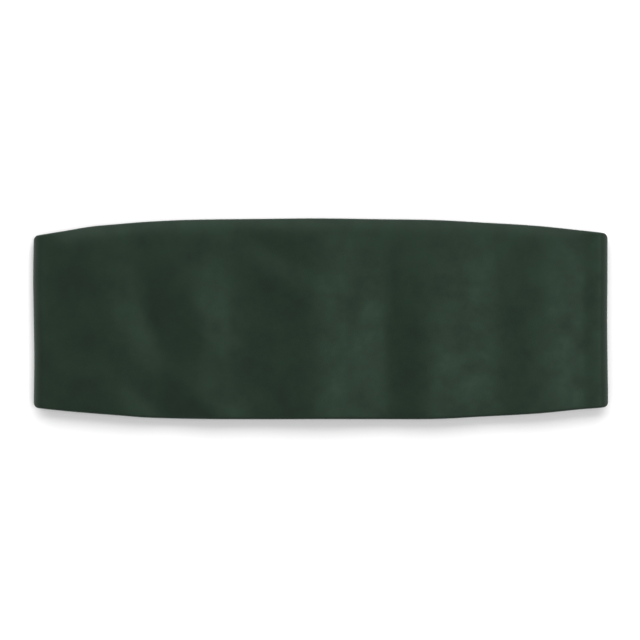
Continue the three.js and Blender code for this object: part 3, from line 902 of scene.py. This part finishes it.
# %% [markdown]
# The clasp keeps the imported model's own shape, which is exact, and only gets a finish: nickel
# plate, brushed to a satin. An even metal would look new and false. So a stretched noise gives
# the brushing, and a slow one the dull patches where fingers have touched it.

# %% The clasp's metal
NICKEL = (0.33, 0.33, 0.34)
DULL_SCALE = 110.0
DULL_RANGE = 0.28
SMOOTHEST = 0.2
DULL_ROUGHENS = 0.3
BRUSH_SCALE = 5000.0
BRUSH_STRETCH = 0.04
BRUSH_DEPTH = 0.012 * MM


def metal_material():
    """Satin nickel: brushed along the clasp's width, with slow dull patches where it was handled.
    The patches mix two greys, and roughness = smoothest + patch * how much dulling roughens."""
    material, tree, shader = start_material("satin_nickel", Metallic=1.0)
    place = tree.nodes.new("ShaderNodeTexCoord").outputs["Object"]
    stretch = tree.nodes.new("ShaderNodeMapping")
    stretch.inputs["Scale"].default_value = (1, BRUSH_STRETCH, 1)
    link(tree, (place, stretch.inputs["Vector"]))
    brushed = noise(tree, stretch.outputs["Vector"], BRUSH_SCALE, detail=3.0)
    dull = noise(tree, place, DULL_SCALE, detail=3.0)
    dark = scaled(NICKEL, 1 - DULL_RANGE)
    link(tree, (two_colours(tree, dull, dark, NICKEL), shader.inputs["Base Color"]))
    rough = maths(tree, "MULTIPLY_ADD", dull, DULL_ROUGHENS, SMOOTHEST)
    link(tree, (rough, shader.inputs["Roughness"]))
    bumped(tree, shader, brushed, BRUSH_DEPTH)
    return material


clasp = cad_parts["clasp"]
clasp.data.materials.clear()
clasp.data.materials.append(metal_material())
print("clasp: nickel", NICKEL, "on", len(clasp.data.polygons), "faces")

# %% [markdown]
# The photo was taken from straight above with a long lens, so both folds look like straight edges.
# A camera that looks straight down needs no turning. Its distance could be found by trial, but it
# follows from what one pixel of the photo covers, so the render lies on the photo pixel by pixel.

# %% Camera
PHOTO_WIDTH = 640
METRES_PER_PIXEL = 0.6485 * MM
LENS = 180
SENSOR = 36
VIEW_PLANE = 5.2 * MM
PIXELS_LEFT = 0.6
PIXELS_DOWN = 1.2


def straight_down_camera():
    """A camera over the middle of the front. Its distance makes one pixel of the 640 cover the
    named length at the height of the front's outline: distance = width * lens / sensor."""
    data = bpy.data.cameras.new("camera")
    data.lens = LENS
    data.sensor_width = SENSOR
    made = bpy.data.objects.new("camera", data)
    distance = PHOTO_WIDTH * METRES_PER_PIXEL * LENS / SENSOR
    left, down = PIXELS_LEFT * METRES_PER_PIXEL, PIXELS_DOWN * METRES_PER_PIXEL
    made.location = (-left, -down, VIEW_PLANE + distance)
    bpy.context.scene.collection.objects.link(made)
    bpy.context.scene.camera = made
    return made


camera = straight_down_camera()
print(f"camera {camera.location.z:.3f} m up, looking straight down")

# %% [markdown]
# The cummerbund lies on a pale, matt surface that the photo shows as nearly white. It could float
# on a white background instead, but its soft shadow tells that it is thick and slightly raised.

# %% The surface it lies on
FLOOR_HALF = 3.0
FLOOR_BELOW = 0.2 * MM
FLOOR_GREY = 0.84


def floor():
    """A square, a hair below the lowest stitches, so that they don't cut into it."""
    corners = [(-1, -1), (1, -1), (1, 1), (-1, 1)]
    mesh = bpy.data.meshes.new("floor")
    mesh.from_pydata([(FLOOR_HALF * x, FLOOR_HALF * y, 0) for x, y in corners], [], [(0, 1, 2, 3)])
    made = bpy.data.objects.new("floor", mesh)
    made.location.z = -FLOOR_BELOW
    bpy.context.scene.collection.objects.link(made)
    material, _, shader = start_material("pale_floor", Roughness=0.9, Specular_IOR_Level=0.1)
    shader.inputs["Base Color"].default_value = (FLOOR_GREY, FLOOR_GREY, FLOOR_GREY, 1)
    mesh.materials.append(material)


floor()
print(f"floor {2 * FLOOR_HALF:.0f} m square, {FLOOR_BELOW:.4f} m below the cloth")

# %% [markdown]
# The photo's light is soft and comes mostly from beyond the top edge, with a little from the
# right: the shadow lies below the lower edge, and the ridges are lit on their right. One lamp
# could not give both. So a large key lamp stands beyond the top, a smaller one high on the right,
# and a grey world fills the shadows.

# %% Light
LAMPS = [
    dict(name="key", x=-0.15, y=1.9, z=1.9, width=4.4, depth=2.4, watts=92),
    dict(name="side", x=1.05, y=-0.2, z=3.2, width=1.0, depth=1.2, watts=35),
]
WORLD_STRENGTH = 0.61


def soft_lamp(row):
    """A rectangular area lamp at a place, turned to face the middle of the front."""
    data = bpy.data.lights.new(row["name"], "AREA")
    data.shape = "RECTANGLE"
    data.size, data.size_y = row["width"], row["depth"]
    data.energy = row["watts"]
    made = bpy.data.objects.new(row["name"], data)
    made.location = (row["x"], row["y"], row["z"])
    made.rotation_euler = (-Vector(made.location)).to_track_quat("-Z", "Y").to_euler()
    bpy.context.scene.collection.objects.link(made)
    return made


for row in LAMPS:
    lamp = soft_lamp(row)
    print(f"lamp {lamp.name}: {row['watts']} W, {lamp.location.length:.2f} m away")
world = bpy.data.worlds.new("studio")
world.use_nodes = True
world.node_tree.nodes["Background"].inputs["Color"].default_value = (1, 1, 1, 1)
world.node_tree.nodes["Background"].inputs["Strength"].default_value = WORLD_STRENGTH
bpy.context.scene.world = world
bpy.context.scene.view_settings.view_transform = "Standard"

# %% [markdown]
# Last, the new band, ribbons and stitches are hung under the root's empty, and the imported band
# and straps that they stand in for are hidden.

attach(band, "root")
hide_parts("band")
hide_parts("left_strap")
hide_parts("right_strap")
for piece in (left_ribbon, right_ribbon, left_stitches, right_stitches, wing_stitches):
    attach(piece, "root")
